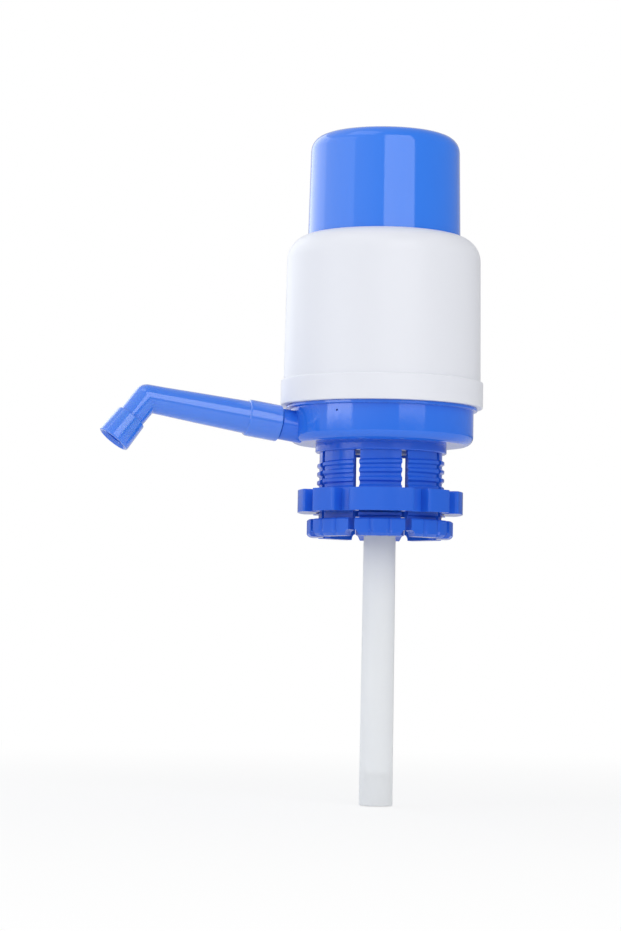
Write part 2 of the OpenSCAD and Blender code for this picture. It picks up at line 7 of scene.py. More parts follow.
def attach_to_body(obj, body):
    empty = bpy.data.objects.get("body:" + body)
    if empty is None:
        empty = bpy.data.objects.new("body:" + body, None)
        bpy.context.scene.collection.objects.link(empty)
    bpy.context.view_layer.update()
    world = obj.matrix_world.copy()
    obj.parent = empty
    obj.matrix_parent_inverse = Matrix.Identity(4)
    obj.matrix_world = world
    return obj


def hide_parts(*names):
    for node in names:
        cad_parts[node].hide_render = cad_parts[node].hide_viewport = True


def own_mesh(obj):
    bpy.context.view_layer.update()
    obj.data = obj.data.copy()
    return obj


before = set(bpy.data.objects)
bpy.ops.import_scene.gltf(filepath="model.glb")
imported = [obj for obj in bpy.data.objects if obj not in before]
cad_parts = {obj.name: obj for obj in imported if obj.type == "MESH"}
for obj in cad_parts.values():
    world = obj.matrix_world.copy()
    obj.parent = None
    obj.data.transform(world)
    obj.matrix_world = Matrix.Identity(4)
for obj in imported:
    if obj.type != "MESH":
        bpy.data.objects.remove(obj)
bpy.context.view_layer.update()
print("frame loaded:", len(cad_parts), "nodes")

mm = 0.001
mergeWithin = 0.002 * mm
sharpFrom = 32  # degrees between two faces
cornerSegments = 6


def finishMesh(bm, name, sharpAngle=sharpFrom):
    bmesh.ops.remove_doubles(bm, verts=bm.verts, dist=mergeWithin)
    bmesh.ops.recalc_face_normals(bm, faces=bm.faces)
    mesh = bpy.data.meshes.new(name)
    bm.to_mesh(mesh)
    bm.free()
    mesh.polygons.foreach_set("use_smooth", [True] * len(mesh.polygons))
    mesh.set_sharp_from_angle(angle=math.radians(sharpAngle))
    piece = bpy.data.objects.new(name, mesh)
    bpy.context.scene.collection.objects.link(piece)
    return piece


def roundCorner(bm, vert, radius):
    # a vertex bevel's offset runs along the edges, so it follows from the corner's angle
    ends = [edge.other_vert(vert).co - vert.co for edge in vert.link_edges]
    angle = ends[0].angle(ends[1])
    bmesh.ops.bevel(bm, geom=[vert], offset=radius / math.tan(angle / 2), offset_type="OFFSET",
                    affect="VERTICES", segments=cornerSegments, profile=0.5, material=-1)


def drawOutline(bm, corners, closed):
    # corners are (radius, height, fillet) in mm, drawn in the XZ plane
    verts = [bm.verts.new((c[0] * mm, 0, c[1] * mm)) for c in corners]
    last = len(verts) if closed else len(verts) - 1
    for i in range(last):
        bm.edges.new((verts[i], verts[(i + 1) % len(verts)]))
    for vert, corner in zip(verts, corners):
        if len(corner) > 2:
            roundCorner(bm, vert, corner[2] * mm)


def lathe(name, corners, steps, place=None):
    # an outline that starts on the axis stays open there, any other is a closed loop
    bm = bmesh.new()
    drawOutline(bm, corners, corners[0][0] > 0)
    bmesh.ops.spin(bm, geom=bm.verts[:] + bm.edges[:], cent=(0, 0, 0), axis=(0, 0, 1),
                   angle=2 * math.pi, steps=steps, use_merge=True)
    if place:
        bmesh.ops.transform(bm, matrix=place, verts=bm.verts)
    return finishMesh(bm, name)


def carve(piece, cutter):
    tool = piece.modifiers.new("carve", "BOOLEAN")
    tool.operation = "DIFFERENCE"
    tool.solver = "EXACT"
    tool.object = cutter
    bpy.context.view_layer.update()
    result = piece.evaluated_get(bpy.context.evaluated_depsgraph_get())
    carved = bpy.data.meshes.new_from_object(result)
    piece.modifiers.clear()
    piece.data = carved
    bpy.data.objects.remove(cutter)
    carved.set_sharp_from_angle(angle=math.radians(sharpFrom))


def rod(name, radius, length, place):
    bm = bmesh.new()
    bmesh.ops.create_cone(bm, cap_ends=True, segments=32, radius1=radius * mm,
                          radius2=radius * mm, depth=length * mm, matrix=place)
    return finishMesh(bm, name)


def settle(piece, body, slotName, material, *nodes):
    piece.data.materials.clear()
    piece.data.materials.append(material)
    # large faces keep their own direction beside the rounded edges
    shade = piece.modifiers.new("faceWeights", "WEIGHTED_NORMAL")
    shade.weight = 90
    shade.keep_sharp = True
    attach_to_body(piece, body)
    if nodes:
        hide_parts(*nodes)


class Wire:
    # a socket that can be used in sums; numbers and other wires mix freely
    def __init__(self, tree, socket):
        self.tree = tree
        self.socket = socket

    def node(self, kind, settings=None, inputs=None, out=0):
        made = self.tree.nodes.new(kind)
        for key, value in (settings or {}).items():
            setattr(made, key, value)
        for key, value in (inputs or {}).items():
            if isinstance(value, Wire):
                self.tree.links.new(value.socket, made.inputs[key])
            else:
                made.inputs[key].default_value = value
        return Wire(self.tree, made.outputs[out])

    def maths(self, operation, first, second):
        return self.node("ShaderNodeMath", {"operation": operation}, {0: first, 1: second})

    def __add__(self, other):
        return self.maths("ADD", self, other)

    def __radd__(self, other):
        return self.maths("ADD", other, self)

    def __sub__(self, other):
        return self.maths("SUBTRACT", self, other)

    def __rsub__(self, other):
        return self.maths("SUBTRACT", other, self)

    def __mul__(self, other):
        return self.maths("MULTIPLY", self, other)

    def __rmul__(self, other):
        return self.maths("MULTIPLY", other, self)

    def noise(self, scale, detail, rough, stretch=None):
        where = self
        if stretch:
            where = self.node("ShaderNodeMapping", {}, {"Vector": self, "Scale": stretch})
        return self.node("ShaderNodeTexNoise", {}, {
            "Vector": where, "Scale": scale, "Detail": detail, "Roughness": rough})

    def shades(self, low, high):
        # sockets 6 and 7 and output 2 are the Mix node's colours
        return self.node("ShaderNodeMix", {"data_type": "RGBA"},
                         {0: self, 6: (*low, 1), 7: (*high, 1)}, 2)


def newMaterial(name, constants):
    # constants are set straight on the shader's own sockets
    material = bpy.data.materials.new(name)
    material.use_nodes = True
    tree = material.node_tree
    shader = tree.nodes["Principled BSDF"]
    for key, value in constants.items():
        shader.inputs[key].default_value = value
    start = Wire(tree, None)
    where = start.node("ShaderNodeTexCoord", out=3)

    def attach(key, wire):
        tree.links.new(wire.socket, shader.inputs[key])

    def bump(height, strength, distance):
        attach("Normal", start.node("ShaderNodeBump", {}, {
            "Strength": strength, "Distance": distance, "Height": height}))

    return material, where, attach, bump


def mouldedPlastic(name, look):
    # glossy injection moulding: faint flow marks, a soft orange-peel surface and a few long rubs
    material, where, attach, bump = newMaterial(name, {
        "IOR": look["ior"], "Coat Weight": look.get("coat", 0.0), "Coat Roughness": 0.05,
        "Coat IOR": 1.5, "Subsurface Weight": look.get("glow", 0.0), "Subsurface Scale": 0.004,
        "Subsurface Radius": look.get("glowReach", (1.0, 1.0, 1.0))})
    flow = where.noise(look["flowScale"], 3, 0.55, (1, 1, 0.35))
    peel = where.noise(look["peelScale"], 2, 0.5)
    rubs = where.noise(90, 3, 0.6, (1, 1, 0.12))  # drawn out along the height
    scuffs = where.node("ShaderNodeMapRange", {"interpolation_type": "SMOOTHSTEP"}, {
        "Value": rubs, "From Min": 0.58, "From Max": 0.75, "To Min": 0.0, "To Max": 1.0})
    attach("Base Color", flow.shades(look["deep"], look["pale"]))
    attach("Roughness", look["rough"] + (flow - 0.5) * 0.03 + scuffs * 0.05)
    bump(peel, look["peel"], 0.00015)
    return material


def rubber(name, deep, pale, rough):
    material, where, attach, bump = newMaterial(name, {"IOR": 1.48})
    grain = where.noise(900, 3, 0.6)
    patch = where.noise(60, 2, 0.5)
    attach("Base Color", patch.shades(deep, pale))
    attach("Roughness", rough + (grain - 0.5) * 0.2)
    bump(grain, 0.12, 0.0002)
    return material


def screwSteel():
    material, where, attach, bump = newMaterial("platedSteel", {"Metallic": 1.0})
    turned = where.noise(700, 3, 0.6, (1, 1, 8))
    attach("Base Color", turned.shades((0.55, 0.55, 0.56), (0.72, 0.72, 0.72)))
    attach("Roughness", 0.3 + turned * 0.18)
    bump(turned, 0.08, 0.0001)
    return material


bluePlastic = mouldedPlastic("bluePlastic", {
    "deep": (0.024, 0.155, 0.76), "pale": (0.031, 0.18, 0.82), "rough": 0.08, "ior": 1.52,
    "flowScale": 22, "peelScale": 420, "peel": 0.05})
collarPlastic = mouldedPlastic("collarPlastic", {
    "deep": (0.016, 0.115, 0.66), "pale": (0.023, 0.145, 0.75), "rough": 0.16, "ior": 1.52,
    "flowScale": 45, "peelScale": 420, "peel": 0.06})
capPlastic = mouldedPlastic("capPlastic", {
    "deep": (0.021, 0.18, 0.8), "pale": (0.026, 0.205, 0.86), "rough": 0.09, "ior": 1.52,
    "flowScale": 18, "peelScale": 380, "peel": 0.04, "coat": 0.3})
spoutPlastic = mouldedPlastic("spoutPlastic", {
    "deep": (0.037, 0.19, 0.8), "pale": (0.046, 0.215, 0.86), "rough": 0.12, "ior": 1.52,
    "flowScale": 26, "peelScale": 420, "peel": 0.04, "coat": 0.9, "glow": 0.25,
    "glowReach": (0.3, 0.55, 1.0)})
whitePlastic = mouldedPlastic("whitePlastic", {
    "deep": (0.765, 0.78, 0.84), "pale": (0.8, 0.815, 0.87), "rough": 0.34, "ior": 1.48,
    "flowScale": 14, "peelScale": 520, "peel": 0.08, "glow": 0.08})
cloudyPlastic = mouldedPlastic("cloudyPlastic", {
    "deep": (0.79, 0.815, 0.84), "pale": (0.85, 0.87, 0.89), "rough": 0.3, "ior": 1.5,
    "flowScale": 40, "peelScale": 300, "peel": 0.06, "glow": 0.35})
bellowsPlastic = mouldedPlastic("bellowsPlastic", {
    "deep": (0.74, 0.75, 0.74), "pale": (0.8, 0.81, 0.8), "rough": 0.42, "ior": 1.5,
    "flowScale": 30, "peelScale": 400, "peel": 0.1, "glow": 0.2})
greyRubber = rubber("greyRubber", (0.03, 0.03, 0.034), (0.05, 0.05, 0.055), 0.55)
whiteRubber = rubber("whiteRubber", (0.72, 0.72, 0.7), (0.78, 0.78, 0.76), 0.5)
platedSteel = screwSteel()
print("materials made")

cap = {"top": 155.6, "mouth": 105.6, "rimRadius": 37.6, "topRadius": 36.65, "edge": 7.5,
       "wall": 2.2, "footRadius": 40, "footTop": 102.31, "footBottom": 100.11, "smallEdge": 0.3,
       "ringRadius": 12, "ringWide": 2, "ringHigh": 1.6, "steps": 160}


def makeCap():
    inner = cap["topRadius"] - cap["wall"]
    roof = cap["top"] - cap["wall"]
    ringInner = cap["ringRadius"] - cap["ringWide"]
    ringLow = roof - cap["ringHigh"]
    edge = cap["smallEdge"]
    piece = lathe("pressCap", [
        (0, cap["top"]),
        (cap["topRadius"], cap["top"], cap["edge"]),
        (cap["rimRadius"], cap["mouth"]),
        (cap["rimRadius"], cap["footTop"], edge),
        (cap["footRadius"], cap["footTop"], edge),
        (cap["footRadius"], cap["footBottom"], edge),
        (cap["rimRadius"] - cap["wall"], cap["footBottom"]),
        (inner, roof, cap["edge"] - cap["wall"]),
        (cap["ringRadius"], roof),
        (cap["ringRadius"], ringLow, edge),
        (ringInner, ringLow, edge),
        (ringInner, roof),
        (0, roof)], cap["steps"])
    settle(piece, "cap", "blue_gloss", capPlastic, "press_cap")


sleeve = {"foot": 21.5, "bandTop": 34.1, "mouth": 105.6, "footBore": 45.9, "bandRadius": 49.7,
          "bandEdge": 0.6, "lowRadius": 48.4, "topRadius": 47.7, "mouthRadius": 37.9,
          "mouthEdge": 0.4, "shoulder": 12, "wall": 2.2, "arcSteps": 12, "steps": 176}


def shoulderArc(shift):
    # from the body's side over the shoulder to the mouth, which cuts the arc short of level
    reach = sleeve["mouthRadius"] - sleeve["topRadius"] + sleeve["shoulder"]
    centre = sleeve["mouth"] - math.sqrt(sleeve["shoulder"] ** 2 - reach ** 2)
    radius = sleeve["shoulder"] - shift
    end = math.acos(reach / radius)
    turns = [end * i / sleeve["arcSteps"] for i in range(sleeve["arcSteps"] + 1)]
    return [(sleeve["topRadius"] - sleeve["shoulder"] + radius * math.cos(turn),
             centre + radius * math.sin(turn)) for turn in turns]


def makeSleeve():
    outside = shoulderArc(0)
    inside = shoulderArc(sleeve["wall"])
    piece = lathe("pumpSleeve", [
        (sleeve["footBore"], sleeve["foot"], 0.2),
        (sleeve["bandRadius"], sleeve["foot"], sleeve["bandEdge"]),
        (sleeve["bandRadius"], sleeve["bandTop"], 0.5),
        (sleeve["lowRadius"], sleeve["bandTop"], 0.3),
        *outside[:-1],
        (*outside[-1], sleeve["mouthEdge"]),
        (*inside[-1], 0.3),
        *reversed(inside[:-1]),
        (sleeve["lowRadius"] - sleeve["wall"], sleeve["bandTop"]),
        (sleeve["footBore"], sleeve["bandTop"] - 1)], sleeve["steps"])
    settle(piece, "pump_body", "white_shell", whitePlastic, "sleeve")


bowl = {"bottom": 3, "rim": 21.5, "radius": 45.2, "edge": 4.5, "flangeRadius": 47, "flange": 1.5,
        "wall": 2.2, "floor": 2.5, "collarRadius": 45.6, "collarBore": 43.6, "collarTop": 32,
        "ledgeBore": 40, "ledge": 2, "ledgeSlope": 2, "tubeHole": 9.8, "airHole": 2.8,
        "airHoleX": 17, "airCut": 12, "ventRadius": 0.55, "ventHeight": 16.7, "ventAngle": -136.2,
        "ventCut": 8, "steps": 160}


def makeBowl():
    floorTop = bowl["bottom"] + bowl["floor"]
    flangeLow = bowl["rim"] - bowl["flange"]
    ledgeLow = bowl["rim"] - bowl["ledge"]
    inner = bowl["radius"] - bowl["wall"]
    piece = lathe("baseBowl", [
        (bowl["tubeHole"], bowl["bottom"], 0.2),
        (bowl["radius"], bowl["bottom"], bowl["edge"]),
        (bowl["radius"], flangeLow, 0.25),
        (bowl["flangeRadius"], flangeLow, 0.3),
        (bowl["flangeRadius"], bowl["rim"], 0.3),
        (bowl["collarRadius"], bowl["rim"]),
        (bowl["collarRadius"], bowl["collarTop"], 0.6),
        (bowl["collarBore"], bowl["collarTop"], 0.4),
        (bowl["collarBore"], bowl["rim"]),
        (bowl["ledgeBore"], bowl["rim"]),
        (bowl["ledgeBore"], ledgeLow),
        (inner, ledgeLow - bowl["ledgeSlope"]),
        (inner, floorTop, bowl["edge"] - bowl["wall"]),
        (bowl["tubeHole"], floorTop)], bowl["steps"])
    turn = Matrix.Rotation(math.radians(bowl["ventAngle"]), 4, "Z")
    vent = turn @ Matrix.Translation((bowl["radius"] * mm, 0, bowl["ventHeight"] * mm))
    outward = vent @ Matrix.Rotation(math.pi / 2, 4, "Y")
    carve(piece, rod("ventCutter", bowl["ventRadius"], bowl["ventCut"], outward))
    down = Matrix.Translation((bowl["airHoleX"] * mm, 0, floorTop * mm))
    carve(piece, rod("airCutter", bowl["airHole"], bowl["airCut"], down))
    settle(piece, "pump_body", "blue_gloss", bluePlastic, "base_bowl")


spout = {"root": (-44, 0, 10.5), "rise": 8.2, "stubStart": -3.5, "stubFace": 8.2,
         "stubRadius": 7.6, "spigotRadius": 6.3, "spigotLength": 14.5, "bore": 4.7, "gap": 0.4,
         "socketLength": 16.5, "socketRadius": 8.9, "armLength": 50, "armRootRadius": 7.95,
         "armTipRadius": 6.7, "legDrop": 52, "legLength": 26, "legTipRadius": 6.4,
         "pipeShort": 3.4, "wall": 1.9,
         # the socket's rounded ends, as the way in from the end and the drop in radius there
         "socketStart": ((0, 0.5), (0.2, 0.15), (0.6, 0)),
         "socketEnd": ((1.3, 0), (0.6, 0.12), (0.2, 0.4)),
         "nozzleLength": 14.2, "nozzleTopRadius": 7.6, "nozzleRadius": 8.3, "mouthRadius": 7.2,
         "mouthDeep": 1.7, "lipRadius": 5.9, "sides": 72, "elbowRings": 10, "turnedSteps": 96}


def spoutFrame(along=0):
    root = Matrix.Translation(Vector(spout["root"]) * mm)
    turn = Matrix.Rotation(math.radians(spout["rise"] - 90), 4, "Y")
    return root @ turn @ Matrix.Translation((0, 0, along * mm))


def legFrame():
    elbow = spout["stubFace"] + spout["gap"] + spout["socketLength"] + spout["armLength"]
    turn = math.radians(spout["legDrop"] + spout["rise"])
    return spoutFrame(elbow) @ Matrix.Rotation(-turn, 4, "Y")


def makeStub():
    face = spout["stubFace"]
    end = face + spout["spigotLength"]
    piece = lathe("spoutStub", [
        (spout["stubRadius"], spout["stubStart"]),
        (spout["stubRadius"], face, 0.3),
        (spout["spigotRadius"], face),
        (spout["spigotRadius"], end, 0.8),
        (spout["bore"], end),
        (spout["bore"], spout["stubStart"])], spout["turnedSteps"], spoutFrame())
    settle(piece, "pump_body", "blue_gloss", bluePlastic)


def nextRing(bm, ring, rise, scale):
    grown = bmesh.ops.extrude_edge_only(bm, edges=ring)["geom"]
    verts = [g for g in grown if isinstance(g, bmesh.types.BMVert)]
    bmesh.ops.scale(bm, vec=(scale, scale, 1), verts=verts)
    bmesh.ops.translate(bm, vec=(0, 0, rise), verts=verts)
    return [g for g in grown if isinstance(g, bmesh.types.BMEdge)]


def bentRing(bm, ring, flat):
    # each new vertex keeps the place that the one it grew from had before the bend
    before = [(vert.co.copy(), place) for vert, place in flat.items()]
    grown = bmesh.ops.extrude_edge_only(bm, edges=ring)["geom"]
    ring = [g for g in grown if isinstance(g, bmesh.types.BMEdge)]
    flat = {vert: min(before, key=lambda pair: (pair[0] - vert.co).length)[1]
            for vert in {vert for edge in ring for vert in edge.verts}}
    return ring, flat


def makeSpout():
    # the tube runs up +Z from the stub's face, then bends towards -X at the elbow
    bm = bmesh.new()
    start = spout["stubFace"] + spout["gap"]
    socketEnd = start + spout["socketLength"]
    elbow = socketEnd + spout["armLength"]
    turn = math.radians(spout["legDrop"] + spout["rise"])
    socket, root, tip = spout["socketRadius"], spout["armRootRadius"], spout["armTipRadius"]
    # (place along the tube, radius) of its rings
    stations = [(start + along, socket - drop) for along, drop in spout["socketStart"]]
    stations += [(socketEnd - along, socket - drop) for along, drop in spout["socketEnd"]]
    stations += [(socketEnd, root + 0.1), (socketEnd + 0.4, root),
                 (socketEnd + 0.5 * spout["armLength"], (root + tip) / 2),
                 (elbow - 8, tip + 0.1), (elbow, tip)]
    made = bmesh.ops.create_circle(bm, segments=spout["sides"], radius=stations[0][1] * mm,
                                   matrix=Matrix.Translation((0, 0, start * mm)))
    ring = list({edge for vert in made["verts"] for edge in vert.link_edges})
    for (lastAlong, lastRadius), (along, radius) in zip(stations, stations[1:]):
        ring = nextRing(bm, ring, (along - lastAlong) * mm, radius / lastRadius)
    # the inner side stops at the mitre, the outer side goes round like a ball
    flat = {vert: vert.co.copy() for edge in ring for vert in edge.verts}
    for vert, place in flat.items():
        if place.x < 0:
            vert.co.z = place.z + place.x * math.tan(turn / 2)
    centre = Matrix.Translation((0, 0, elbow * mm))
    for step in range(1, spout["elbowRings"] + 1):
        part = Matrix.Rotation(-turn * step / spout["elbowRings"], 4, "Y")
        bend = centre @ part @ centre.inverted()
        ring, flat = bentRing(bm, ring, flat)
        for vert, place in flat.items():
            if place.x >= 0:
                vert.co = bend @ place
    leg = centre @ Matrix.Rotation(-turn, 4, "Y")
    legEnd = (spout["legLength"] - spout["pipeShort"]) * mm
    taper = spout["legTipRadius"] / tip
    ring, flat = bentRing(bm, ring, flat)
    for vert, place in flat.items():
        vert.co = leg @ Vector((place.x * taper, place.y * taper, legEnd))
    bmesh.ops.transform(bm, matrix=spoutFrame(), verts=bm.verts)
    piece = finishMesh(bm, "bentSpout")
    thick = piece.modifiers.new("wall", "SOLIDIFY")
    thick.thickness = spout["wall"] * mm
    thick.offset = -1
    settle(piece, "spout", "blue_gloss", spoutPlastic, "spout")


def makeNozzle():
    end = spout["legLength"]
    start = end - spout["nozzleLength"]
    bore = spout["legTipRadius"] + 0.05
    piece = lathe("spoutNozzle", [
        (bore + 0.15, start),
        (spout["nozzleTopRadius"], start, 0.6),
        (spout["nozzleRadius"], end, 0.8),
        (spout["mouthRadius"], end, 0.2),
        (spout["lipRadius"], end - spout["mouthDeep"], 0.5),
        (spout["lipRadius"], end - spout["pipeShort"] + 0.1),
        (bore, end - spout["pipeShort"] + 0.1)], spout["turnedSteps"], legFrame())
    settle(piece, "spout", "blue_gloss", spoutPlastic, "spout_nozzle")


collet = {"bore": 28, "root": 30.1, "crest": 31.2, "pitch": 4.2, "crestWide": 1.3, "flank": 0.8,
          "firstRidge": -4.4, "ridgeSpare": 0.4, "top": -0.6, "footTop": -34.2, "footEdge": 0.6,
          "footRadius": 35.8, "chamfer": 1.4, "bottom": -42.7, "fingers": 8, "phase": 117,
          "slot": 3.3, "steps": 26, "grooveAngle": 7.5, "grooveDeep": 0.8, "grooveWide": 1.6,
          "grooveReach": 2, "notchWide": 1.9, "notchHigh": 2.9, "flangeRadius": 32.2,
          "flangeLow": -1.2, "flangeTop": 3, "flangeSteps": 128}


def fingerLevels(climb):
    # (radius, height, is on a ridge) of a finger's outer side, from its foot up to the flange
    foot, bottom, footTop = collet["footRadius"], collet["bottom"], collet["footTop"]
    chamfer, edge = collet["chamfer"], collet["footEdge"]
    levels = [(foot - chamfer, bottom, False),
              (foot - 0.4 * chamfer, bottom + 0.4 * chamfer, False),
              (foot, bottom + chamfer, False)]
    levels += [(foot, bottom + collet["notchHigh"] * part, False) for part in (0.7, 0.88, 1)]
    levels += [(foot, footTop - edge, False), (foot - edge, footTop, False),
               (collet["root"], footTop, False)]
    half = collet["crestWide"] / 2
    ridge = [(collet["root"], -half - collet["flank"]), (collet["crest"], -half),
             (collet["crest"], half), (collet["root"], half + collet["flank"])]
    lowest = footTop + collet["ridgeSpare"] - ridge[0][1]
    first = collet["firstRidge"] - collet["pitch"] * (1 - climb)
    count = int((first - lowest) / collet["pitch"]) + 1
    for i in reversed(range(count)):
        levels += [(r, first - i * collet["pitch"] + z, True) for r, z in ridge]
    return levels + [(collet["root"], collet["top"], False)]


def makeFinger(bm, index):
    pitchAngle = 2 * math.pi / collet["fingers"]
    half = pitchAngle / 2
    rise = collet["pitch"] / (2 * math.pi)
    levels = fingerLevels((index + 0.5) / collet["fingers"])
    ridgeSpots = {(round(r, 3), round(z, 3)) for r, z, onRidge in levels if onRidge}
    before = set(bm.verts)
    heights = [z for r, z, onRidge in levels]
    outer = [bm.verts.new((r * mm, 0, z * mm)) for r, z, onRidge in levels]
    inner = {z: bm.verts.new((collet["bore"] * mm, 0, z * mm)) for z in dict.fromkeys(heights)}
    # the section is one face for each step up, and corners at one height share an inner vertex
    faces = []
    last = 0
    for i in range(1, len(levels)):
        if heights[i] > heights[last] and heights[i] not in heights[i + 1:]:
            corners = [inner[heights[last]], *outer[last:i + 1], inner[heights[i]]]
            faces.append(bm.faces.new(corners))
            last = i
    bmesh.ops.spin(bm, geom=faces, cent=(0, 0, 0), axis=(0, 0, 1), angle=pitchAngle,
                   steps=collet["steps"])
    mine = [vert for vert in bm.verts if vert not in before]
    slotHalf = collet["slot"] / 2 * mm
    for vert in mine:
        radius = math.hypot(vert.co.x, vert.co.y)
        angle = math.atan2(vert.co.y, vert.co.x) - half
        z = vert.co.z
        # the ridges climb along the finger, as a right-hand thread does
        if (round(radius / mm, 3), round(z / mm, 3)) in ridgeSpots:
            z += angle * rise * mm
        # the sides run parallel to the slot, and the foot's lower corners are rounded away
        limit = half - math.asin(slotHalf / radius)
        above = (vert.co.z / mm - collet["bottom"]) / collet["notchHigh"]
        if above < 1:
            limit -= collet["notchWide"] * mm / radius * math.sqrt(1 - above ** 2)
        angle *= limit / half
        if radius > (collet["footRadius"] - collet["grooveReach"]) * mm:
            for side in (-1, 1):
                off = (angle - side * math.radians(collet["grooveAngle"])) * radius / mm
                depth = math.exp(-(off / (collet["grooveWide"] / 2)) ** 4)
                radius -= collet["grooveDeep"] * mm * depth
        vert.co = (radius * math.cos(angle), radius * math.sin(angle), z)
    centre = math.radians(collet["phase"]) + index * pitchAngle
    bmesh.ops.rotate(bm, verts=mine, cent=(0, 0, 0), matrix=Matrix.Rotation(centre, 3, "Z"))


def makeCollet():
    bm = bmesh.new()
    for index in range(collet["fingers"]):
        makeFinger(bm, index)
    fingers = finishMesh(bm, "colletFingers", sharpAngle=28)
    settle(fingers, "pump_body", "blue_gloss", collarPlastic, "collet")
    flange = lathe("colletFlange", [
        (collet["bore"], collet["flangeLow"]),
        (collet["flangeRadius"], collet["flangeLow"], 0.7),
        (collet["flangeRadius"], collet["flangeTop"]),
        (collet["bore"], collet["flangeTop"])], collet["flangeSteps"])
    settle(flange, "pump_body", "blue_gloss", collarPlastic)


# the lugs' widths, broad and narrow, are in degrees
nut = {"low": -30.8, "high": 11, "bore": 31.55, "ring": 34.5, "tip": 40.5, "broad": 47,
       "narrow": 22, "phase": -107, "corner": 1.6, "edge": 1.0, "steps": 720}


def lugRadius(angle):
    # radius of the nut's outline at an angle in degrees, with round corners on the lugs
    within = (angle - nut["phase"]) % 90
    fromBroad = min(within, 90 - within)
    fromNarrow = abs(within - 45)
    spare = max(nut["broad"] / 2 - fromBroad, nut["narrow"] / 2 - fromNarrow)
    inside = math.radians(spare) * nut["tip"]
    corner = nut["corner"]
    if inside <= 0:
        return nut["ring"]
    if inside >= corner:
        return nut["tip"]
    return nut["tip"] - corner + math.sqrt(corner ** 2 - (corner - inside) ** 2)


def makeNut():
    bm = bmesh.new()
    outer = bmesh.ops.create_circle(bm, segments=nut["steps"], radius=nut["tip"] * mm)["verts"]
    for vert in outer:
        angle = math.degrees(math.atan2(vert.co.y, vert.co.x))
        vert.co = vert.co.normalized() * lugRadius(angle) * mm
    bore = bmesh.ops.create_circle(bm, segments=nut["steps"], radius=nut["bore"] * mm)["verts"]
    bmesh.ops.bridge_loops(bm, edges=bm.edges[:])
    bmesh.ops.translate(bm, vec=(0, 0, nut["low"] * mm), verts=outer + bore)
    grown = bmesh.ops.extrude_face_region(bm, geom=bm.faces[:] + bm.edges[:] + bm.verts[:])["geom"]
    lifted = [g for g in grown if isinstance(g, bmesh.types.BMVert)]
    bmesh.ops.translate(bm, vec=(0, 0, nut["high"] * mm), verts=lifted)
    bmesh.ops.recalc_face_normals(bm, faces=bm.faces)
    # the outer rims run level, and their two faces meet at a clear angle
    outside = (nut["bore"] + 1) * mm
    rims = [edge for edge in bm.edges if abs(edge.verts[0].co.z - edge.verts[1].co.z) < 1e-7
            and min(vert.co.xy.length for vert in edge.verts) > outside
            and len(edge.link_faces) == 2 and edge.calc_face_angle(0) > 1]
    bmesh.ops.bevel(bm, geom=rims, offset=nut["edge"] * mm, offset_type="OFFSET", affect="EDGES",
                    segments=4, profile=0.5, material=-1, clamp_overlap=True)
    piece = finishMesh(bm, "clampNut", sharpAngle=40)
    settle(piece, "nut", "blue_gloss", collarPlastic, "clamp_nut")


tube = {"top": 2.4, "bottom": -172.6, "shoulder": -12.3, "spigotRadius": 7.25, "topRadius": 7.75,
        "lowRadius": 8.2, "bore": 6.2, "jointBore": 7.3, "jointDeep": 16, "steps": 96}


def makeTube():
    joint = tube["bottom"] + tube["jointDeep"]
    piece = lathe("dipTube", [
        (tube["bore"], tube["top"]),
        (tube["spigotRadius"], tube["top"], 0.35),
        (tube["spigotRadius"], tube["shoulder"]),
        (tube["topRadius"], tube["shoulder"], 0.35),
        (tube["lowRadius"], tube["bottom"], 0.4),
        (tube["jointBore"], tube["bottom"], 0.3),
        (tube["jointBore"], joint),
        (tube["bore"], joint)], tube["steps"])
    settle(piece, "pump_body", "clear_poly", cloudyPlastic, "dip_tube")


bellows = {"foot": 25.4, "footThick": 1.5, "footRadius": 43, "footNeck": 1, "crest": 33.8,
           "root": 27.5, "wall": 1.2, "folds": 11, "foldEdge": 0.8, "lidNeck": 1.7, "lid": 150.9,
           "top": 153, "bossRadius": 9.7, "bossBore": 0.5, "stroke": 45, "steps": 72}


def makeBellows():
    footTop = bellows["foot"] + bellows["footThick"]
    low = footTop + bellows["footNeck"]
    lid, root, wall = bellows["lid"], bellows["root"], bellows["wall"]
    step = (lid - bellows["lidNeck"] - low) / (2 * bellows["folds"])
    outside = [(root if i % 2 == 0 else bellows["crest"], low + step * i, bellows["foldEdge"])
               for i in range(2 * bellows["folds"] + 1)]
    inside = [(radius - wall, z, edge) for radius, z, edge in reversed(outside)]
    piece = lathe("pumpBellows", [
        (root - wall, bellows["foot"]),
        (bellows["footRadius"], bellows["foot"]),
        (bellows["footRadius"], footTop),
        (root, footTop),
        *outside,
        (root, lid, 0.5),
        (bellows["bossRadius"], lid),
        (bellows["bossRadius"], bellows["top"], 0.4),
        (bellows["bossBore"], bellows["top"]),
        (bellows["bossBore"], lid - wall),
        (root - wall, lid - wall),
        *inside], bellows["steps"])
    settle(piece, "pump_body", "natural_poly", bellowsPlastic, "bellows")
    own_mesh(piece)


finishes = {
    "valve_deck": whitePlastic, "riser_elbow": whitePlastic, "bellows_clamp_ring": bluePlastic,
    "deck_gasket": greyRubber, "inlet_valve": greyRubber, "outlet_valve": greyRubber,
    "riser_o_ring": greyRubber, "floor_o_ring": greyRubber, "spout_o_ring": greyRubber,
    "deck_screws": platedSteel, "collet_screws": platedSteel, "neck_gasket": whiteRubber}


def finishNodes():
    for name, material in finishes.items():
        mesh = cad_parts[name].data
        mesh.materials.clear()
        mesh.materials.append(material)


for make in (makeCap, makeSleeve, makeBowl, makeStub, makeSpout, makeNozzle, makeCollet, makeNut,
             makeTube, makeBellows, finishNodes):
    make()
    print("done:", make.__name__)

